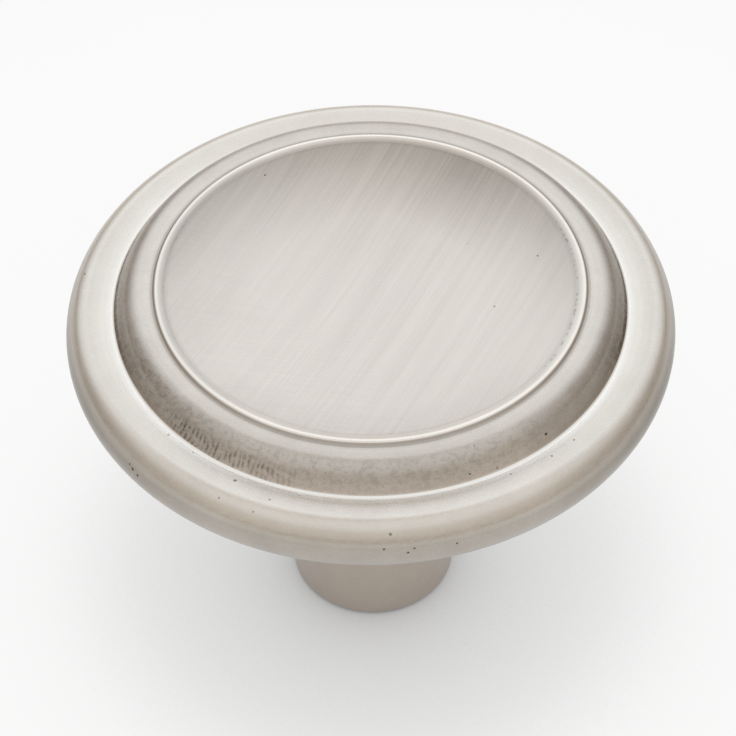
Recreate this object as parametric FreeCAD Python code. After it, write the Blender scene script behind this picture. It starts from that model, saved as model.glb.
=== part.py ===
import FreeCAD, Part

# Round cabinet knob, one zinc die casting with a satin nickel finish.
#
# A turned form about +Z, in millimetres. The foot stands on z = 0, where it meets the
# door, and the head faces +Z. From the axis outwards the head has a shallow dish, a fine
# lip, a convex ring, a sharp quirk and a broad rim with a full round edge. A plain round
# stem runs from the head's underside to the foot, which has a blind tapped hole for a
# machine screw.

import math
import os

from FreeCAD import Vector

# Overall sizes
head_diameter = 31.75
projection = 22.2  # from the door to the crest of the lip

# Rim, a broad land round the ring, with a full round edge
rim_width = 2.546  # from the quirk to the edge of the head
rim_crest_drop = 1.441  # the rim's crest lies this far under the lip's crest
rim_land_angle = 5.0  # fall of the land from the crest inwards to the quirk
rim_top_radius = 0.937  # where the land turns down to the side
rim_top_turn = 47.0  # the angle of that turn
rim_side_radius = 1.82  # from there round to the underside

# Ring, the convex moulding between the lip and the rim
ring_width = 2.219  # from the lip's crest to the quirk
ring_crown_angle = 1.0  # fall of the ring's top beside the lip
ring_shoulder_radius = 1.0
ring_wall_angle = 60.0  # fall of the ring's outer wall

# Lip, the fine raised edge round the dish
lip_crest_width = 0.18
lip_height_over_dish = 0.1
lip_height_over_ring = 0.16
lip_inner_angle = 22.0  # slope of the lip's side towards the dish
lip_outer_angle = 52.0  # slope of the lip's side towards the ring

# Dish, a spherical hollow
dish_depth = 0.9  # from the dish's edge to its lowest point

# Underside of the head, and the stem
underside_angle = 10.0  # fall of the underside from the rim to the stem
neck_fillet_radius = 1.8
stem_diameter = 9.0
foot_chamfer = 0.25

# Blind hole, drilled for a No. 8-32 tap
hole_diameter = 3.45
hole_depth = 12.0  # from the foot to the end of the round wall
drill_point_angle = 118.0
mouth_diameter = 4.7  # of the chamfer at the foot


def point(radius, height):
    """A point of the half section, in the XZ plane."""
    return Vector(radius, 0, height)


def heading(angle):
    """A unit vector in the XZ plane, at an angle in degrees above +X."""
    turn = math.radians(angle)
    return point(math.cos(turn), math.sin(turn))


def crossing(first, first_angle, second, second_angle):
    """Where two lines cross, each given by one of its points and its angle."""
    along_first = heading(first_angle)
    across_second = heading(second_angle + 90)
    reach = (second - first).dot(across_second) / along_first.dot(across_second)
    return first + along_first * reach


class Outline:
    """A run of straight lines and arcs, drawn from one point to the next."""

    def __init__(self, start):
        self.here = start
        self.edges = []

    def line_to(self, end):
        self.edges.append(Part.LineSegment(self.here, end).toShape())
        self.here = end

    def arc_about(self, centre, end):
        """The shorter arc about a centre to a point at the same distance from it."""
        radius = (end - centre).Length
        middle = (self.here - centre) + (end - centre)
        through = centre + middle.normalize() * radius
        self.edges.append(Part.Arc(self.here, through, end).toShape())
        self.here = end

    def round_corner(self, corner, next_corner, radius):
        """A line towards a corner, and the arc that rounds it towards the next one."""
        back = (self.here - corner).normalize()
        ahead = (next_corner - corner).normalize()
        half_angle = back.getAngle(ahead) / 2
        trim = radius / math.tan(half_angle)
        bisector = (back + ahead).normalize()
        centre = corner + bisector * (radius / math.sin(half_angle))
        self.line_to(corner + back * trim)
        self.arc_about(centre, corner + ahead * trim)


# The rim's two round parts meet at a common tangent, and the side's centre is set so that
# it just reaches the head's radius.
top_turn_end = heading(90 - rim_top_turn)
centre_offset = top_turn_end * (rim_side_radius - rim_top_radius)
rim_crest = point(
    head_diameter / 2 - rim_side_radius + centre_offset.x,
    projection - rim_crest_drop,
)
top_centre = rim_crest - point(0, rim_top_radius)
side_centre = top_centre - centre_offset
land_edge = top_centre + heading(90 + rim_land_angle) * rim_top_radius
quirk_radius = head_diameter / 2 - rim_width
quirk = crossing(land_edge, rim_land_angle, point(quirk_radius, 0), 90)
lip_outer_crest = point(quirk_radius - ring_width, projection)
lip_inner_crest = lip_outer_crest - point(lip_crest_width, 0)


def draw_dish(outline):
    """The hollow of the dish, a part of a sphere, and the inner side of the lip."""
    edge_level = point(0, projection - lip_height_over_dish)
    edge = crossing(lip_inner_crest, lip_inner_angle, edge_level, 0)
    sphere_radius = (edge.x**2 + dish_depth**2) / (2 * dish_depth)
    sphere_centre = edge_level + point(0, sphere_radius - dish_depth)
    outline.arc_about(sphere_centre, edge)
    outline.line_to(lip_inner_crest)


def draw_lip(outline):
    """The lip's crest and its outer side, down to the top of the ring."""
    ring_level = point(0, projection - lip_height_over_ring)
    outline.line_to(lip_outer_crest)
    outline.line_to(crossing(lip_outer_crest, -lip_outer_angle, ring_level, 0))


def draw_ring(outline):
    """The ring's top, its shoulder and its wall, down to the quirk."""
    shoulder = crossing(outline.here, -ring_crown_angle, quirk, -ring_wall_angle)
    outline.round_corner(shoulder, quirk, ring_shoulder_radius)
    outline.line_to(quirk)


def draw_rim(outline):
    """The land, the turn at its edge, and the side, round to the underside."""
    outline.line_to(land_edge)
    outline.arc_about(top_centre, top_centre + top_turn_end * rim_top_radius)
    outline.arc_about(side_centre, side_centre + point(rim_side_radius, 0))
    outward_normal = heading(underside_angle - 90)
    outline.arc_about(side_centre, side_centre + outward_normal * rim_side_radius)


def draw_underside(outline):
    """The underside, the neck's fillet, the stem and the chamfered edge of the foot."""
    foot_corner = point(stem_diameter / 2, 0)
    neck = crossing(outline.here, underside_angle, foot_corner, 90)
    outline.round_corner(neck, foot_corner, neck_fillet_radius)
    outline.line_to(foot_corner + point(0, foot_chamfer))
    outline.line_to(foot_corner - point(foot_chamfer, 0))


def draw_hole(outline):
    """The foot's face and the blind hole, up to the drill's point on the axis."""
    chamfer = (mouth_diameter - hole_diameter) / 2
    point_height = hole_diameter / 2 / math.tan(math.radians(drill_point_angle / 2))
    outline.line_to(point(mouth_diameter / 2, 0))
    outline.line_to(point(hole_diameter / 2, chamfer))
    outline.line_to(point(hole_diameter / 2, hole_depth))
    outline.line_to(point(0, hole_depth + point_height))


def knob():
    """The half section of the knob, turned about its axis."""
    dish_bottom = point(0, projection - lip_height_over_dish - dish_depth)
    outline = Outline(dish_bottom)
    draw_dish(outline)
    draw_lip(outline)
    draw_ring(outline)
    draw_rim(outline)
    draw_underside(outline)
    draw_hole(outline)
    outline.line_to(dish_bottom)
    section = Part.Face(Part.Wire(outline.edges))
    return section.revolve(Vector(0, 0, 0), Vector(0, 0, 1), 360)


os.makedirs("parts", exist_ok=True)
knob().exportStep("parts/knob.step")
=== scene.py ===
from math import sin, cos, tan, radians, degrees, pi, sqrt, atan2, asin

import bpy
from mathutils import Vector, Matrix


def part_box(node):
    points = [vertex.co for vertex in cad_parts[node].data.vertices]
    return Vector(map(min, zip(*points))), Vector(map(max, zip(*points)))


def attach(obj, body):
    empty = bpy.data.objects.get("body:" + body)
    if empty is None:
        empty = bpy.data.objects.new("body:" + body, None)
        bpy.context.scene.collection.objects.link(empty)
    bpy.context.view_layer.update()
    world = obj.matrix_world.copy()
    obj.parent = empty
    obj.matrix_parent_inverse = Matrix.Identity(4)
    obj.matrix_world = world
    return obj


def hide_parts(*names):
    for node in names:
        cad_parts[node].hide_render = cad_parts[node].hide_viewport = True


# satin nickel cabinet knob, foot on z = 0, face up
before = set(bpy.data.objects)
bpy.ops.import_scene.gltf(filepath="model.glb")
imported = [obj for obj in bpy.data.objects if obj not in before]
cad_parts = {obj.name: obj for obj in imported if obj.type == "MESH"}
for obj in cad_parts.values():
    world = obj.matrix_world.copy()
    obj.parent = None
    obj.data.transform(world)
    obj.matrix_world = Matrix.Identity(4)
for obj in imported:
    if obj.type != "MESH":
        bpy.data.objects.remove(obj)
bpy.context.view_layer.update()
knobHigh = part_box("knob")[1]
mm = 0.001
headR = knobHigh.x / mm
topZ = knobHigh.z / mm
print("frame loaded: head radius", round(headR, 3), "height", round(topZ, 3))


# points are (radius, height) in mm until the mesh is made
def polar(centre, radius, angle):
    return (centre[0] + radius * cos(radians(angle)), centre[1] + radius * sin(radians(angle)))


def arc(centre, radius, a0, a1, steps):
    return [polar(centre, radius, a0 + (a1 - a0) * i / steps) for i in range(steps + 1)]


def between(p, q, parts):
    # evenly spaced points from p to q, without the two ends
    shares = [i / parts for i in range(1, parts)]
    return [(p[0] * (1 - t) + q[0] * t, p[1] * (1 - t) + q[1] * t) for t in shares]


def cross(p, pAngle, q, qAngle):
    # where two lines meet, each with a point and a slope in degrees
    c1, s1 = cos(radians(pAngle)), sin(radians(pAngle))
    c2, s2 = cos(radians(qAngle)), sin(radians(qAngle))
    t = ((q[0] - p[0]) * s2 - (q[1] - p[1]) * c2) / (c1 * s2 - s1 * c2)
    return (p[0] + c1 * t, p[1] + s1 * t)


def softCorner(a, b, c, radius, steps):
    # the arc that rounds corner b on the way from a to c
    toA, toC = (Vector(a) - Vector(b)).normalized(), (Vector(c) - Vector(b)).normalized()
    half = toA.angle(toC) / 2
    trim = radius / tan(half)
    centre = Vector(b) + (toA + toC).normalized() * (radius / sin(half))
    v0 = Vector(b) + toA * trim - centre
    v1 = Vector(b) + toC * trim - centre
    a0 = degrees(atan2(v0.y, v0.x))
    turn = (degrees(atan2(v1.y, v1.x)) - a0 + 180) % 360 - 180
    return arc(tuple(centre), radius, a0, a0 + turn, steps)


# section of the knob, lengths in mm and slopes in degrees
knob = {
    "sideR": 1.82, "topR": 0.937, "topTurn": 47.0,
    "rimDrop": 1.441, "rimWidth": 2.546, "landFall": 5.0,
    "ringWidth": 2.219, "crownFall": 1.0, "shoulderR": 1.0, "wallFall": 60.0, "quirkR": 0.26,
    "lipCrest": 0.18, "lipOverDish": 0.1, "lipOverRing": 0.16, "lipIn": 19.0, "lipOut": 52.0,
    "lipInnerR": 0.2, "lipOuterR": 0.16, "lipFootR": 0.08, "dishDepth": 0.9, "dishEdgeR": 0.4,
    "underFall": 10.0, "neckR": 1.8, "stemR": 4.5, "footChamfer": 0.25, "footEdgeR": 0.06,
    "sharpOver": 32,
}
# how many parts each stretch of the section is drawn in
parts = {
    "dish": 30, "dishEdge": 6, "lipInner": 5, "lipOuter": 6, "lipFoot": 5,
    "crown": 5, "shoulder": 14, "wall": 6, "quirk": 10, "land": 4, "rimTop": 14, "rimSide": 24,
    "under": 4, "neck": 10, "footEdge": 3,
}
ringEnd = 4  # the quirk's points up to here have the ring's finish
around = 384


def headSection():
    # from the middle of the dish out to the rim and down to the foot, finish by finish
    k, n = knob, parts
    bend = (k["sideR"] - k["topR"]) * sin(radians(k["topTurn"]))
    crest = (headR - k["sideR"] + bend, topZ - k["rimDrop"])
    topC = (crest[0], crest[1] - k["topR"])
    sideC = polar(topC, k["topR"] - k["sideR"], 90 - k["topTurn"])
    landTop = polar(topC, k["topR"], 90 + k["landFall"])
    wallFoot = cross(landTop, k["landFall"], (headR - k["rimWidth"], 0), 90)
    lipOuter = (wallFoot[0] - k["ringWidth"], topZ)
    lipInner = (lipOuter[0] - k["lipCrest"], topZ)
    dishEdge = cross(lipInner, k["lipIn"], (0, topZ - k["lipOverDish"]), 0)
    ringStart = cross(lipOuter, -k["lipOut"], (0, topZ - k["lipOverRing"]), 0)
    shoulder = cross(ringStart, -k["crownFall"], wallFoot, -k["wallFall"])
    under = polar(sideC, k["sideR"], k["underFall"] - 90)
    neck = cross(under, k["underFall"], (k["stemR"], 0), 90)

    # dish, up to where its edge starts to turn into the lip
    sphereR = (dishEdge[0] ** 2 + k["dishDepth"] ** 2) / (2 * k["dishDepth"])
    sphereC = (0, dishEdge[1] - k["dishDepth"] + sphereR)
    edgeSlope = degrees(asin(dishEdge[0] / sphereR))
    beforeEdge = polar(dishEdge, 1, 180 + edgeSlope)
    edgeArc = softCorner(beforeEdge, dishEdge, lipInner, k["dishEdgeR"], n["dishEdge"])
    lastAngle = degrees(asin(edgeArc[0][0] / sphereR))
    dish = arc(sphereC, sphereR, -90, -90 + lastAngle, n["dish"])

    lip = edgeArc[1:]
    lip += softCorner(dishEdge, lipInner, lipOuter, k["lipInnerR"], n["lipInner"])
    lip += softCorner(lipInner, lipOuter, ringStart, k["lipOuterR"], n["lipOuter"])
    lip += softCorner(lipOuter, ringStart, shoulder, k["lipFootR"], n["lipFoot"])

    shoulderArc = softCorner(ringStart, shoulder, wallFoot, k["shoulderR"], n["shoulder"])
    quirk = softCorner(shoulder, wallFoot, landTop, k["quirkR"], n["quirk"])
    ring = between(lip[-1], shoulderArc[0], n["crown"])
    ring += shoulderArc
    ring += between(shoulderArc[-1], quirk[0], n["wall"])
    ring += quirk[:ringEnd]

    rim = quirk[ringEnd:]
    rim += between(quirk[-1], landTop, n["land"])
    rim += arc(topC, k["topR"], 90 + k["landFall"], 90 - k["topTurn"], n["rimTop"])
    rim += arc(sideC, k["sideR"], 90 - k["topTurn"], k["underFall"] - 90, n["rimSide"])[1:]

    neckArc = softCorner(under, neck, (k["stemR"], 0), k["neckR"], n["neck"])
    chamferTop = (k["stemR"], k["footChamfer"])
    chamferIn = (k["stemR"] - k["footChamfer"], 0)
    back = between(under, neckArc[0], n["under"])
    back += neckArc
    back += softCorner(neckArc[-1], chamferTop, chamferIn, k["footEdgeR"], n["footEdge"])
    back += softCorner(chamferTop, chamferIn, (0, 0), k["footEdgeR"], n["footEdge"])
    return [("dish", dish[1:]), ("lip", lip), ("ring", ring), ("rim", rim), ("back", back)]


# tapped hole in the foot, in mm
hole = {
    "minorR": 1.725, "majorR": 2.06, "pitch": 0.79375, "grooveWidth": 1.25, "grooveSlope": 2.9,
    "mouthR": 2.35, "wallTop": 12.0, "pointAngle": 118.0, "threadTop": 10.6, "runOut": 1.2,
    "columns": 96, "mouthStep": 0.08, "mouthRows": 3, "rowsPerTurn": 11, "pastThread": 0.1,
}


def holeRadius(z, angle):
    # right-hand thread cut into the drilled wall, wider in the mouth's chamfer
    h = hole
    chamfer = h["mouthR"] - z
    fade = min(1, max(0, (h["threadTop"] - z) / h["runOut"]))
    turn = (z / h["pitch"] - angle / (2 * pi)) % 1
    groove = min(1, max(0, h["grooveWidth"] - abs(turn - 0.5) * h["grooveSlope"]))
    return max(chamfer, h["minorR"] + (h["majorR"] - h["minorR"]) * groove * fade)


def buildKnob():
    h = hole
    verts = [(0, 0, topZ - knob["lipOverDish"] - knob["dishDepth"])]
    rows, faces, regions = [], [], []

    def addRow(region, radii, z):
        rows.append((region, len(verts), len(radii)))
        for i, r in enumerate(radii):
            a = 2 * pi * i / len(radii)
            verts.append((r * cos(a), r * sin(a), z))

    def addFace(corners, region):
        faces.append(corners)
        regions.append(region)

    for region, points in headSection():
        for r, z in points:
            addRow(region, [r] * around, z)
    angles = [2 * pi * i / h["columns"] for i in range(h["columns"])]
    levels = [h["mouthStep"] * i for i in range(h["mouthRows"])]
    while levels[-1] < h["threadTop"] + h["pastThread"]:
        levels.append(levels[-1] + h["pitch"] / h["rowsPerTurn"])
    for z in levels + [h["wallTop"]]:
        addRow("hole", [holeRadius(z, a) for a in angles], z)
    tip = len(verts)
    verts.append((0, 0, h["wallTop"] + h["minorR"] / tan(radians(h["pointAngle"] / 2))))

    first, last = rows[0][1], rows[-1][1]
    for i in range(around):
        addFace((0, first + i, first + (i + 1) % around), "dish")
    for (_, a, n), (region, b, m) in zip(rows, rows[1:]):
        if n == m:
            for i in range(n):
                j = (i + 1) % n
                addFace((a + i, b + i, b + j, a + j), region)
            continue
        # the foot's face steps down to fewer columns at the mouth
        step = n // m
        for i in range(m):
            j = (i + 1) % m
            for s in range(step):
                p, q = i * step + s, (i * step + s + 1) % n
                addFace((a + p, b + (i if s < step // 2 else j), a + q), "back")
            addFace((a + i * step + step // 2, b + i, b + j), "back")
    for i in range(h["columns"]):
        addFace((last + i, tip, last + (i + 1) % h["columns"]), "hole")

    mesh = bpy.data.meshes.new("knobBody")
    mesh.from_pydata([(x * mm, y * mm, z * mm) for x, y, z in verts], [], faces)
    return mesh, regions


# node helpers
def newNode(tree, kind, **values):
    node = tree.nodes.new(kind)
    for key, value in values.items():
        if key in node.inputs:
            node.inputs[key].default_value = value
        else:
            setattr(node, key, value)
    return node


def mathNode(tree, operation, a, b=None, clamp=False):
    node = newNode(tree, "ShaderNodeMath", operation=operation, use_clamp=clamp)
    for i, value in enumerate((a, b)):
        if isinstance(value, (int, float)):
            node.inputs[i].default_value = value
        elif value is not None:
            tree.links.new(value, node.inputs[i])
    return node.outputs[0]


def times(tree, *factors):
    total = factors[0]
    for factor in factors[1:]:
        total = mathNode(tree, "MULTIPLY", total, factor)
    return total


def plus(tree, *terms):
    total = terms[0]
    for term in terms[1:]:
        total = mathNode(tree, "ADD", total, term)
    return total


def oneLess(tree, value):
    return mathNode(tree, "SUBTRACT", 1.0, value)


def remap(tree, value, low, high, outLow, outHigh):
    node = newNode(tree, "ShaderNodeMapRange", clamp=True)
    limits = (("From Min", low), ("From Max", high), ("To Min", outLow), ("To Max", outHigh))
    for name, limit in limits:
        node.inputs[name].default_value = limit
    tree.links.new(value, node.inputs["Value"])
    return node.outputs["Result"]


def rampNode(tree, value, stops):
    # a smooth curve through (position, level) stops
    low, high = stops[0][0], stops[-1][0]
    ramp = tree.nodes.new("ShaderNodeValToRGB")
    ramp.color_ramp.interpolation = "EASE"
    band = ramp.color_ramp.elements
    while len(band) < len(stops):
        band.new(0.5)
    for element, (at, level) in zip(band, stops):
        element.position = (at - low) / (high - low)
        element.color = (level, level, level, 1)
    tree.links.new(remap(tree, value, low, high, 0, 1), ramp.inputs["Fac"])
    return ramp.outputs["Color"]


def mixColours(tree, share, first, second):
    # from the first colour to the second; each is a socket or three numbers
    mix = newNode(tree, "ShaderNodeMix", data_type="RGBA", blend_type="MIX")
    for name, colour in (("A", first), ("B", second)):
        if isinstance(colour, tuple):
            mix.inputs[name].default_value = (*colour, 1)
        else:
            tree.links.new(colour, mix.inputs[name])
    tree.links.new(share, mix.inputs["Factor"])
    return mix.outputs["Result"]


def distanceTo(tree, place, spot):
    # the spot is in mm
    gap = newNode(tree, "ShaderNodeVectorMath", operation="DISTANCE")
    tree.links.new(place, gap.inputs[0])
    gap.inputs[1].default_value = [v * mm for v in spot]
    return gap.outputs["Value"]


def noiseFrom(tree, vector, scale, detail=2.0, fourth=None):
    noise = newNode(tree, "ShaderNodeTexNoise", Scale=scale, Detail=detail, Roughness=0.6)
    tree.links.new(vector, noise.inputs["Vector"])
    if fourth is not None:
        noise.noise_dimensions = "4D"
        tree.links.new(fourth, noise.inputs["W"])
    return noise.outputs["Fac"]


def straightLines(tree, place, lay, along, across):
    # noise drawn out along one direction in plan
    spin = (0, 0, -radians(lay))
    turned = newNode(tree, "ShaderNodeMapping", vector_type="POINT", Rotation=spin)
    tree.links.new(place, turned.inputs["Vector"])
    stretch = newNode(tree, "ShaderNodeVectorMath", operation="MULTIPLY")
    stretch.inputs[1].default_value = (along, across, along)
    tree.links.new(turned.outputs[0], stretch.inputs[0])
    return noiseFrom(tree, stretch.outputs[0], 1.0)


def roundLines(tree, at, along, across):
    # noise drawn out round the axis, in four dimensions so that it has no seam
    spun = tree.nodes.new("ShaderNodeCombineXYZ")
    for i, (name, scale) in enumerate((("radius", across), ("z", across), ("x", along))):
        tree.links.new(times(tree, at[name], scale), spun.inputs[i])
    return noiseFrom(tree, spun.outputs[0], 1.0, 3.0, times(tree, at["y"], along))


def window(tree, value, low, high, soft):
    # 1 between low and high, fading out over a soft edge
    rise = remap(tree, value, low - soft, low, 0, 1)
    fall = remap(tree, value, high, high + soft, 1, 0)
    return times(tree, rise, fall)


def ringBand(tree, at, band):
    low, high, soft = [v * mm for v in band]
    return window(tree, at["radius"], low, high, soft)


def sector(tree, at, band):
    low, high, soft = [radians(v) for v in band]
    return window(tree, mathNode(tree, "ARCTAN2", at["y"], at["x"]), low, high, soft)


# wear, and painted shade in the crease at the foot of the ring's wall; bands are from, to and fade,
# in mm of radius or degrees round the axis
chatter = {
    "radius": 13.0, "spacing": 0.27, "slant": 2600.0, "wobble": 11.0, "wobbleScale": 900.0,
    "stripe": (-0.3, 0.8, 0.2, 1), "breakScale": 3400.0, "breaks": (0.38, 0.56, 0.05, 1),
    "round": (-136, -113, 8), "band": (12.95, 13.25, 0.2), "tone": 0.39,
}
wallSpecks = {
    "scale": 3600.0, "over": 0.5, "round": (-150, -60, 20), "band": (12.35, 13.1, 0.3), "tone": 0.1,
}
footSpecks = {
    "scale": 3200.0, "over": 0.45, "sides": (0.86, 0.94), "band": (12.95, 13.28, 0.25),
    "tone": 0.08,
}
# painted shade in the crease at the foot of the wall, at the right and left sides
footCreaseShade = {
    "scale": 3600.0, "ragged": (0.35, 0.6, 0.45, 1), "sides": (0.92, 0.985),
    "band": (13.17, 13.25, 0.05), "tone": 0.36,
}
lipNicks = {
    "scale": 3700.0, "over": 0.53, "round": (-32, 18, 8), "elsewhere": 0.2,
    "band": (10.53, 10.68, 0.07), "tone": 0.18,
}
speckEdge = 0.07


def turningMarks(tree, at):
    # short ripples the tool left across the foot of the ring's wall, on one stretch of it
    c = chatter
    azimuth = mathNode(tree, "ARCTAN2", at["y"], at["x"])
    phase = plus(
        tree, times(tree, azimuth, 2 * pi * c["radius"] / c["spacing"]),
        times(tree, at["radius"], c["slant"]),
        times(tree, noiseFrom(tree, at["place"], c["wobbleScale"]), c["wobble"]),
    )
    stripe = remap(tree, mathNode(tree, "SINE", phase), *c["stripe"])
    broken = remap(tree, noiseFrom(tree, at["place"], c["breakScale"], 3.0), *c["breaks"])
    inside = times(tree, sector(tree, at, c["round"]), ringBand(tree, at, c["band"]))
    return times(tree, stripe, broken, inside, c["tone"])


def specks(tree, at, kind, limits):
    # where a noise stands over a threshold, inside the given limits
    noise = noiseFrom(tree, at["place"], kind["scale"], 3.0)
    dots = remap(tree, noise, kind["over"], kind["over"] + speckEdge, 0, 1)
    return times(tree, dots, limits, ringBand(tree, at, kind["band"]), kind["tone"])


def wallMarksAndShade(tree, at):
    sideways = mathNode(tree, "ABSOLUTE", at["across"])
    facing = sector(tree, at, wallSpecks["round"])
    sides = remap(tree, sideways, *footSpecks["sides"], 0, 1)
    # painted shade: a dark, ragged line in the crease at the foot of the wall, at the right and
    # left sides
    ragged = remap(tree, noiseFrom(tree, at["place"], footCreaseShade["scale"]), *footCreaseShade["ragged"])
    darkBand = times(
        tree, ringBand(tree, at, footCreaseShade["band"]), ragged,
        remap(tree, sideways, *footCreaseShade["sides"], 0, 1), footCreaseShade["tone"],
    )
    return plus(
        tree, turningMarks(tree, at), darkBand, specks(tree, at, wallSpecks, facing),
        specks(tree, at, footSpecks, sides),
    )


def lipMarks(tree, at):
    # nicks at the foot of the lip's inner slope, most of them at the right
    nicked = remap(tree, sector(tree, at, lipNicks["round"]), 0, 1, lipNicks["elsewhere"], 1)
    return specks(tree, at, lipNicks, nicked)


pitShape = {"raggedScale": 9000.0, "ragged": 0.12, "core": 0.4, "cellEdge": (0.02, 0.05)}


def placedPits(tree, at, marks):
    # single pits, each with a radius, height, azimuth and size in mm
    s = pitShape
    ragged = newNode(tree, "ShaderNodeTexNoise", Scale=s["raggedScale"], Detail=1.0)
    tree.links.new(at["place"], ragged.inputs["Vector"])
    shift = newNode(tree, "ShaderNodeVectorMath", operation="MULTIPLY_ADD")
    tree.links.new(ragged.outputs["Color"], shift.inputs[0])
    shift.inputs[1].default_value = [s["ragged"] * mm] * 3
    tree.links.new(at["place"], shift.inputs[2])
    offset = s["ragged"] / 2  # the noise's middle
    total = None
    for r, z, azimuth, size in marks:
        x, y = polar((0, 0), r, azimuth)
        gap = distanceTo(tree, shift.outputs[0], (x + offset, y + offset, z + offset))
        spot = remap(tree, gap, s["core"] * size * mm, size * mm, 1, 0)
        total = spot if total is None else mathNode(tree, "MAXIMUM", total, spot)
    return total


def pitsIn(tree, at, look):
    # small pits under the plating, in a few of the cells, and the placed ones
    cells = newNode(tree, "ShaderNodeTexVoronoi", Scale=look["pitScale"])
    tree.links.new(at["place"], cells.inputs["Vector"])
    chance = tree.nodes.new("ShaderNodeSeparateColor")
    tree.links.new(cells.outputs["Color"], chance.inputs[0])
    pitted = mathNode(tree, "GREATER_THAN", chance.outputs[0], 1 - look["pitShare"])
    pits = times(tree, remap(tree, cells.outputs["Distance"], *pitShape["cellEdge"], 1, 0), pitted)
    if "pits" in look:
        pits = mathNode(tree, "MAXIMUM", pits, placedPits(tree, at, look["pits"]))
    return pits


sideShadeSpan = (0.5, 0.95)  # share of the radius, from where the painted side shade starts to its full
farShadeSpan = (-5.0, 4.0)  # the painted shade at the back comes in between these, in mm from front to back


def paintedShadeLevel(tree, at, look):
    # 1 where no shade is painted, less where shade is painted or the soft patch lies; None where a
    # look has neither
    # painted shade by radius, darkest in the grooves and recesses
    levels = []
    if "paintedShade" in look:
        levels.append(rampNode(tree, at["radius"], [(r * mm, v) for r, v in look["paintedShade"]]))
    if "underShade" in look:
        # painted shade on the rim's underside
        z0, level, z1 = look["underShade"]
        levels.append(remap(tree, at["z"], z0 * mm, z1 * mm, level, 1))
    if "sideShade" in look:
        # painted shade, heavier on the outer slopes at the right and the left
        start, full = sideShadeSpan
        rightLevel, leftLevel, stops = look["sideShade"]
        right = remap(tree, at["across"], start, full, 0, 1 - rightLevel)
        left = remap(tree, at["across"], -full, -start, 1 - leftLevel, 0)
        slope = rampNode(tree, at["radius"], [(r * mm, v) for r, v in stops])
        levels.append(oneLess(tree, times(tree, plus(tree, right, left), slope)))
    if "farShade" in look:
        # painted shade towards the far edge of the dish
        depth, r0, r1 = look["farShade"]
        y0, y1 = farShadeSpan
        outer = remap(tree, at["radius"], r0 * mm, r1 * mm, 0, 1)
        levels.append(oneLess(
            tree, times(tree, outer, remap(tree, at["y"], y0 * mm, y1 * mm, 0, depth))))
    if "patch" in look:
        # one soft darker patch
        x, y, z, size, depth = look["patch"]
        levels.append(remap(
            tree, distanceTo(tree, at["place"], (x, y, z)), 0, size * mm, 1 - depth, 1))
    if "frontShade" in look:
        # painted shade on the land at the front
        depth, y0, y1, r0, r1 = look["frontShade"]
        front = remap(tree, at["y"], y0 * mm, y1 * mm, depth, 0)
        levels.append(oneLess(
            tree, times(tree, front, remap(tree, at["radius"], r0 * mm, r1 * mm, 1, 0))))
    return times(tree, *levels) if levels else None


# noise cells to the metre, along and across the brush lines
brush = {
    "fine": (130, 8000), "broad": (70, 2300), "crossing": (300, 8000), "round": (2600, 8500),
    "crossSpan": (0.35, 0.65, -0.5, 0.5), "crossSlope": 0.6, "crossEnds": (-9.0, -1.0),
    "crossShare": 0.35, "blotchScale": 700.0,
}


def brushLines(tree, at, look):
    # fine and broad lines, straight across the dish or round the axis, and their direction
    b, place = brush, at["place"]
    if "lay" not in look:
        fine = roundLines(tree, at, *b["round"])
        broad = noiseFrom(tree, place, b["blotchScale"], 3.0)
        return fine, broad, newNode(tree, "ShaderNodeTangent", direction_type="RADIAL", axis="Z")
    fine = straightLines(tree, place, look["lay"], *b["fine"])
    broad = straightLines(tree, place, look["lay"], *b["broad"])
    # at the front left a second set crosses them
    crossing = straightLines(tree, place, look["crossLay"], *b["crossing"])
    corner = plus(tree, at["x"], times(tree, at["y"], b["crossSlope"]))
    there = remap(tree, corner, *[v * mm for v in b["crossEnds"]], 1, 0)
    crossing = times(tree, remap(tree, crossing, *b["crossSpan"]), there, b["crossShare"])
    lay = radians(look["lay"])
    along = newNode(tree, "ShaderNodeCombineXYZ", X=cos(lay), Y=sin(lay))
    return plus(tree, fine, crossing), broad, along


metalwork = {
    "anisoTurn": 0.25, "noiseSpan": (0.3, 0.7), "speckleScale": 8500.0,
    "cloudScale": 240.0, "cloudSpan": (0.35, 0.65), "cloudRough": 0.015,
    "pitTone": 0.62, "pitDepth": 12, "markDepth": 12, "thousandth": 1e-6,
    # colour, front span and far level of the painted highlight along the foot of the ring
    "highlightColour": (0.95, 0.925, 0.885), "highlightFrontSpan": (-11.5, -3.0), "highlightBehind": 0.35,
}


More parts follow.
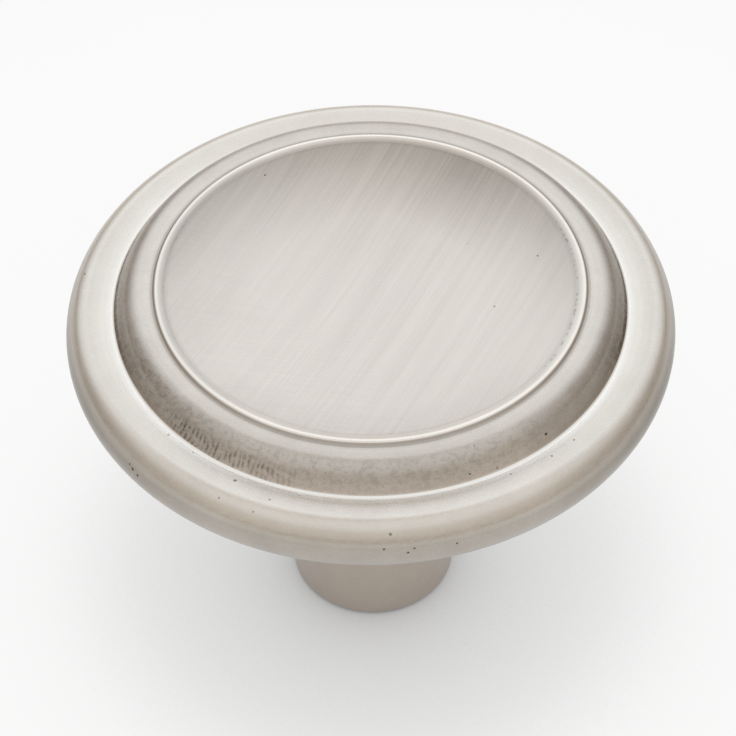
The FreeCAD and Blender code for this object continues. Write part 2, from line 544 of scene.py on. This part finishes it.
def metal(name, look):
    m = metalwork
    material = bpy.data.materials.new(name)
    material.use_nodes = True
    tree = material.node_tree
    shader = tree.nodes["Principled BSDF"]
    shader.inputs["Metallic"].default_value = 1.0
    shader.inputs["Anisotropic"].default_value = look["aniso"]
    shader.inputs["Anisotropic Rotation"].default_value = m["anisoTurn"]

    place = tree.nodes.new("ShaderNodeTexCoord").outputs["Object"]
    axes = tree.nodes.new("ShaderNodeSeparateXYZ")
    tree.links.new(place, axes.inputs[0])
    x, y, z = axes.outputs
    radius = mathNode(tree, "SQRT", plus(tree, times(tree, x, x), times(tree, y, y)))
    across = mathNode(tree, "DIVIDE", x, radius)
    at = {"place": place, "x": x, "y": y, "z": z, "radius": radius, "across": across}

    grain, streaks, tangent = brushLines(tree, at, look)
    tree.links.new(tangent.outputs[0], shader.inputs["Tangent"])
    speckle = noiseFrom(tree, place, m["speckleScale"])
    cloud = noiseFrom(tree, place, m["cloudScale"])
    pits = pitsIn(tree, at, look)
    marks = None
    # the ring's marks carry painted shade in the crease at the foot of its wall as well as wear
    if look.get("wearAndShade") == "wall":
        marks = wallMarksAndShade(tree, at)
    elif look.get("wearAndShade") == "lip":
        marks = lipMarks(tree, at)

    # colour: dark and warm in grain, pits and marks, and with painted shade in recesses, under the
    # rim, at the sides, at the front and at the back
    dark = [
        remap(tree, grain, *m["noiseSpan"], look["grainTone"], 0),
        remap(tree, streaks, *m["noiseSpan"], look["streakTone"], 0),
        remap(tree, speckle, *m["noiseSpan"], look["speckleTone"], 0),
        times(tree, pits, m["pitTone"]),
    ]
    # painted shade, mixed into the dark share
    paintedShade = paintedShadeLevel(tree, at, look)
    if paintedShade is not None:
        dark.append(oneLess(tree, paintedShade))
    if marks is not None:
        dark.append(marks)
    dark = mathNode(tree, "ADD", plus(tree, *dark), 0.0, clamp=True)
    colour = mixColours(tree, dark, look["colour"], grainAndShadeTone)
    if "paintedHighlight" in look:
        # a painted highlight: a thin bright line along the foot of the ring, fading out over the
        # land and weaker towards the back
        r0, r1, rise, fall = look["paintedHighlight"]
        y0, y1 = m["highlightFrontSpan"]
        share = times(
            tree, remap(tree, radius, (r0 - rise) * mm, r0 * mm, 0, 1),
            remap(tree, radius, r1 * mm, (r1 + fall) * mm, 1, 0),
            remap(tree, y, y0 * mm, y1 * mm, 1, m["highlightBehind"]),
        )
        colour = mixColours(tree, share, colour, m["highlightColour"])
    tree.links.new(colour, shader.inputs["Base Color"])

    smooth, coarse = look["rough"] - look["grainRough"], look["rough"] + look["grainRough"]
    lines = remap(tree, grain, *m["noiseSpan"], smooth, coarse)
    uneven = remap(tree, cloud, *m["cloudSpan"], -m["cloudRough"], m["cloudRough"])
    tree.links.new(plus(tree, lines, uneven), shader.inputs["Roughness"])

    # heights in thousandths of a millimetre
    height = plus(
        tree, times(tree, grain, look["grainDepth"]), times(tree, speckle, look["speckleDepth"]))
    height = mathNode(tree, "SUBTRACT", height, times(tree, pits, m["pitDepth"]))
    if marks is not None:
        height = mathNode(tree, "SUBTRACT", height, times(tree, marks, m["markDepth"]))
    bump = newNode(tree, "ShaderNodeBump", Strength=1.0, Distance=m["thousandth"])
    tree.links.new(height, bump.inputs["Height"])
    tree.links.new(bump.outputs[0], shader.inputs["Normal"])
    return material


# finishes, with painted shade; the painted shade's stops by radius are (radius in mm, level)
# the dark warm tone of grain, pits and marks, which the painted shade also mixes in
grainAndShadeTone = (0.072, 0.053, 0.036)
looks = {
    "dish": {
        "colour": (0.69, 0.63, 0.572), "rough": 0.26, "grainRough": 0.04, "aniso": 0.5,
        "lay": 63, "crossLay": -8, "grainTone": 0.07, "streakTone": 0.06, "speckleTone": 0.02,
        "grainDepth": 0.5, "speckleDepth": 0.1, "pitScale": 420, "pitShare": 0.012,
        # painted shade towards the lip and at the back; one soft darker patch
        "paintedShade": [(0.0, 1.0), (8.4, 1.0), (9.8, 0.96), (10.35, 0.94), (10.58, 0.84)],
        "farShade": (0.25, 5.5, 10.3), "patch": (5.4, 8.0, 21.8, 4.8, 0.16),
        "pits": [
            (6.50, 21.53, 348.0, 0.06), (6.10, 21.49, 32.5, 0.05),
            (8.95, 21.83, 12.8, 0.05), (9.90, 21.97, 124.0, 0.06),
        ],
    },
    "lip": {
        "colour": (0.89, 0.83, 0.76), "rough": 0.22, "grainRough": 0.02, "aniso": 0.3,
        "grainTone": 0.03, "streakTone": 0.03, "speckleTone": 0.02,
        "grainDepth": 2, "speckleDepth": 0.5, "pitScale": 900, "pitShare": 0.02, "wearAndShade": "lip",
        # painted shade at the lip's foot, in the groove outside its crest, at the back and at the
        # sides
        "paintedShade": [
            (10.4, 0.84), (10.57, 0.76), (10.7, 0.87), (10.84, 0.96), (10.94, 1.0),
            (11.09, 1.0), (11.15, 0.57), (11.25, 0.54),
        ],
        "farShade": (0.25, 10.9, 10.7),
        "sideShade": (0.75, 0.64, [(10.2, 0.0), (10.5, 1.0), (10.9, 1.0), (11.0, 0.45)]),
    },
    "ring": {
        "colour": (0.78, 0.722, 0.655), "rough": 0.28, "grainRough": 0.06, "aniso": 0.4,
        "grainTone": 0.06, "streakTone": 0.065, "speckleTone": 0.06,
        "grainDepth": 3.5, "speckleDepth": 1.8, "pitScale": 600, "pitShare": 0.03,
        "wearAndShade": "wall",
        # painted shade in the groove by the lip, on the shoulder and wall, and at the sides
        "paintedShade": [
            (11.2, 0.52), (11.3, 0.58), (11.4, 0.84), (11.55, 0.88), (11.8, 0.84),
            (12.15, 0.8), (12.5, 0.77), (12.9, 0.84), (13.15, 0.94), (13.27, 1.0),
        ],
        "sideShade": (0.46, 0.53, [(11.9, 0.0), (12.5, 0.7), (13.1, 1.0)]),
        "pits": [
            (13.03, 21.17, 311.2, 0.1), (13.21, 20.86, 297.5, 0.08),
            (13.12, 21.02, 291.2, 0.08), (12.27, 22.02, 294.0, 0.08),
        ],
    },
    "rim": {
        "colour": (0.772, 0.72, 0.652), "rough": 0.26, "grainRough": 0.05, "aniso": 0.4,
        "grainTone": 0.045, "streakTone": 0.045, "speckleTone": 0.045,
        "grainDepth": 3, "speckleDepth": 1.3, "pitScale": 420, "pitShare": 0.02,
        # painted shade on the underside, at the front of the land and at the sides
        "underShade": (19.7, 0.61, 20.2), "frontShade": (0.09, -13.0, -3.0, 14.0, 14.9),
        "sideShade": (0.5, 0.55, [
            (13.9, 0.0), (14.25, 0.15), (14.6, 0.25), (15.1, 0.36),
            (15.35, 0.6), (15.5, 0.75), (15.75, 1.0),
        ]),
        # a painted highlight along the foot of the ring
        "paintedHighlight": (13.31, 13.45, 0.06, 0.35),
        "pits": [
            (15.47, 20.37, 273.0, 0.09), (15.81, 19.69, 271.8, 0.08),
            (15.83, 19.63, 277.2, 0.07), (15.87, 19.38, 276.0, 0.08),
            (15.85, 19.50, 284.8, 0.07), (15.83, 19.63, 221.2, 0.11),
            (15.80, 19.75, 220.2, 0.08), (15.84, 19.50, 222.6, 0.09),
            (13.59, 20.67, 222.0, 0.08), (13.53, 20.66, 229.2, 0.08),
            (15.20, 20.62, 240.3, 0.07), (15.25, 20.58, 247.5, 0.07),
            (14.36, 20.73, 249.5, 0.06), (13.98, 20.70, 315.5, 0.06),
            (13.98, 20.70, 309.2, 0.06), (13.72, 20.68, 299.5, 0.07),
            (15.14, 20.65, 171.5, 0.07), (13.91, 20.69, 241.0, 0.1),
            (13.59, 20.67, 254.7, 0.1),
        ],
    },
    "back": {
        # a duller finish, with a darker and warmer colour as painted shade under the head
        "colour": (0.62, 0.548, 0.476), "rough": 0.34, "grainRough": 0.04, "aniso": 0.3,
        "grainTone": 0.06, "streakTone": 0.05, "speckleTone": 0.04,
        "grainDepth": 4, "speckleDepth": 2, "pitScale": 420, "pitShare": 0.03,
    },
    "hole": {
        "colour": (0.42, 0.40, 0.38), "rough": 0.42, "grainRough": 0.05, "aniso": 0.3,
        "grainTone": 0.1, "streakTone": 0.08, "speckleTone": 0.05,
        "grainDepth": 5, "speckleDepth": 2, "pitScale": 900, "pitShare": 0.03,
    },
}

mesh, regions = buildKnob()
order = list(looks)
for name in order:
    mesh.materials.append(metal("nickel_" + name, looks[name]))
mesh.polygons.foreach_set("material_index", [order.index(r) for r in regions])
mesh.polygons.foreach_set("use_smooth", [True] * len(mesh.polygons))
mesh.set_sharp_from_angle(angle=radians(knob["sharpOver"]))
mesh.validate()
mesh.update()
knobPiece = bpy.data.objects.new("knobBody", mesh)
bpy.context.scene.collection.objects.link(knobPiece)
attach(knobPiece, "root")
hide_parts("knob")
print("knob built:", len(mesh.polygons), "faces")


# floor and lights, in metres
floorLook = {
    "half": 1.5, "sink": 0.00002, "rough": 0.9, "specular": 0.1,
    "near": (0.93, 0.93, 0.925), "mottled": (0.91605, 0.91605, 0.911125), "mottleScale": 60.0,
    "far": (0.74, 0.69, 0.62), "fade": (0.045, 0.5),
    "white": 0.82, "shadowReach": 0.018, "shadowSamples": 8,
}
dome = {
    "levels": [
        (-1.0, 0.5), (0.0, 0.47), (0.17, 0.55), (0.34, 0.64),
        (0.5, 0.7), (0.64, 0.78), (0.87, 0.87), (1.0, 0.89),
    ],
    "backRise": (0.05, 0.5, 0.2, 1), "backFrom": (0.3, 0.85), "backGlow": 0.46,
    "darkBand": (105, 66), "seamEdge": (0.94, 0.995), "seamDepth": 0.18,
    "tintSpan": (0.45, 1.0), "dimTint": (1.11, 1.0, 0.89), "brightTint": (0.96, 1.0, 1.04),
}
softboxes = {
    "rightBack": {"azimuth": 58, "elevation": 42},
    "leftBack": {"azimuth": 122, "elevation": 41},
}
softboxSize = {
    "aim": (0, 0, 0.018), "distance": 0.9, "wide": 0.6, "tall": 0.5,
    "wattsPerSquareMetre": 0.44, "colour": (0.95, 0.985, 1.03),
}


def pointing(azimuth, elevation):
    a, e = radians(azimuth), radians(elevation)
    return Vector((cos(e) * cos(a), cos(e) * sin(a), sin(e)))


def floorPaint():
    # pale paint, lifted towards white where the camera or the metal sees it in the open
    f = floorLook
    material = bpy.data.materials.new("paleFloor")
    material.use_nodes = True
    tree = material.node_tree
    shader = tree.nodes["Principled BSDF"]
    shader.inputs["Roughness"].default_value = f["rough"]
    shader.inputs["Specular IOR Level"].default_value = f["specular"]
    place = tree.nodes.new("ShaderNodeTexCoord").outputs["Object"]
    mottle = newNode(tree, "ShaderNodeTexNoise", Scale=f["mottleScale"], Detail=2.0)
    tree.links.new(place, mottle.inputs["Vector"])
    paint = mixColours(tree, mottle.outputs["Fac"], f["near"], f["mottled"])
    # the sweep falls off to a warm grey far from the knob
    reach = newNode(tree, "ShaderNodeVectorMath", operation="LENGTH")
    tree.links.new(place, reach.inputs[0])
    root = mathNode(tree, "SQRT", reach.outputs["Value"])
    fade = remap(tree, root, *[sqrt(v) for v in f["fade"]], 0, 1)
    tree.links.new(mixColours(tree, fade, paint, f["far"]), shader.inputs["Base Color"])

    rays = tree.nodes.new("ShaderNodeLightPath")
    seen = plus(tree, rays.outputs["Is Camera Ray"], rays.outputs["Is Glossy Ray"])
    seen = mathNode(tree, "ADD", seen, rays.outputs["Is Transmission Ray"], clamp=True)
    openSky = newNode(
        tree, "ShaderNodeAmbientOcclusion", samples=f["shadowSamples"], Distance=f["shadowReach"])
    white = newNode(tree, "ShaderNodeEmission", Strength=1.0)
    tree.links.new(openSky.outputs["AO"], white.inputs["Color"])
    blend = tree.nodes.new("ShaderNodeMixShader")
    tree.links.new(times(tree, seen, oneLess(tree, fade), f["white"]), blend.inputs["Fac"])
    tree.links.new(shader.outputs[0], blend.inputs[1])
    tree.links.new(white.outputs[0], blend.inputs[2])
    tree.links.new(blend.outputs[0], tree.nodes["Material Output"].inputs["Surface"])
    return material


def domeLight():
    # a dim front, brighter overhead and at the back, with a soft dark seam high up
    d = dome
    world = bpy.data.worlds.new("studioDome")
    bpy.context.scene.world = world
    world.use_nodes = True
    tree = world.node_tree
    glow = tree.nodes["Background"]
    way = tree.nodes.new("ShaderNodeTexCoord").outputs["Generated"]
    axes = tree.nodes.new("ShaderNodeSeparateXYZ")
    tree.links.new(way, axes.inputs[0])
    level = rampNode(tree, axes.outputs["Z"], d["levels"])
    rise = remap(tree, axes.outputs["Z"], *d["backRise"])
    fromBack = remap(tree, axes.outputs["Y"], *d["backFrom"], 0, d["backGlow"])
    toSeam = newNode(tree, "ShaderNodeVectorMath", operation="DOT_PRODUCT")
    toSeam.inputs[1].default_value = pointing(*d["darkBand"])
    tree.links.new(way, toSeam.inputs[0])
    darkBand = remap(tree, toSeam.outputs["Value"], *d["seamEdge"], 1, 1 - d["seamDepth"])
    level = times(tree, plus(tree, level, times(tree, rise, fromBack)), darkBand)
    tree.links.new(level, glow.inputs["Strength"])
    bright = remap(tree, level, *d["tintSpan"], 0, 1)
    tree.links.new(mixColours(tree, bright, d["dimTint"], d["brightTint"]), glow.inputs["Color"])


def softbox(name, azimuth, elevation):
    s = softboxSize
    lamp = bpy.data.lights.new(name, "AREA")
    lamp.shape = "RECTANGLE"
    lamp.size, lamp.size_y = s["wide"], s["tall"]
    lamp.energy = s["wattsPerSquareMetre"] * s["wide"] * s["tall"]
    lamp.color = s["colour"]
    lampObject = bpy.data.objects.new(name, lamp)
    way = pointing(azimuth, elevation)
    lampObject.location = Vector(s["aim"]) + way * s["distance"]
    lampObject.rotation_euler = (-way).to_track_quat("-Z", "Y").to_euler()
    bpy.context.scene.collection.objects.link(lampObject)


half = floorLook["half"]
corners = [(-half, -half, 0), (half, -half, 0), (half, half, 0), (-half, half, 0)]
floorMesh = bpy.data.meshes.new("floor")
floorMesh.from_pydata(corners, [], [(0, 1, 2, 3)])
floorMesh.materials.append(floorPaint())
floor = bpy.data.objects.new("floor", floorMesh)
floor.location.z = -floorLook["sink"]
bpy.context.scene.collection.objects.link(floor)
domeLight()
for name, box in softboxes.items():
    softbox(name, box["azimuth"], box["elevation"])
print("floor, dome and softboxes placed")

# camera, from the photo's ellipses; the photo is 736 pixels square
photo = {
    "pixels": 736, "pixelsPerMm": 18.786, "distance": 0.15, "elevation": 47.19, "roll": -0.71,
    "target": (-0.00017, 0, 0.01554), "sensor": 36.0, "clip": (0.01, 10),
}
cam = bpy.data.cameras.new("camera")
camera = bpy.data.objects.new("camera", cam)
bpy.context.scene.collection.objects.link(camera)
cam.sensor_width = photo["sensor"]
cam.lens = photo["pixelsPerMm"] * photo["distance"] / mm / photo["pixels"] * cam.sensor_width
cam.clip_start, cam.clip_end = photo["clip"]
lift, roll = radians(photo["elevation"]), radians(photo["roll"])
forward = Vector((0, cos(lift), -sin(lift)))
right = Vector((1, 0, 0))
up = right.cross(forward)
camRight = right * cos(roll) + up * sin(roll)
camUp = up * cos(roll) - right * sin(roll)
spot = Vector(photo["target"]) - forward * photo["distance"]
camera.matrix_world = Matrix((
    (camRight.x, camUp.x, -forward.x, spot.x),
    (camRight.y, camUp.y, -forward.y, spot.y),
    (camRight.z, camUp.z, -forward.z, spot.z),
    (0, 0, 0, 1),
))
bpy.context.scene.camera = camera
bpy.context.scene.view_settings.view_transform = "Standard"
print("camera set, lens", round(cam.lens, 2))
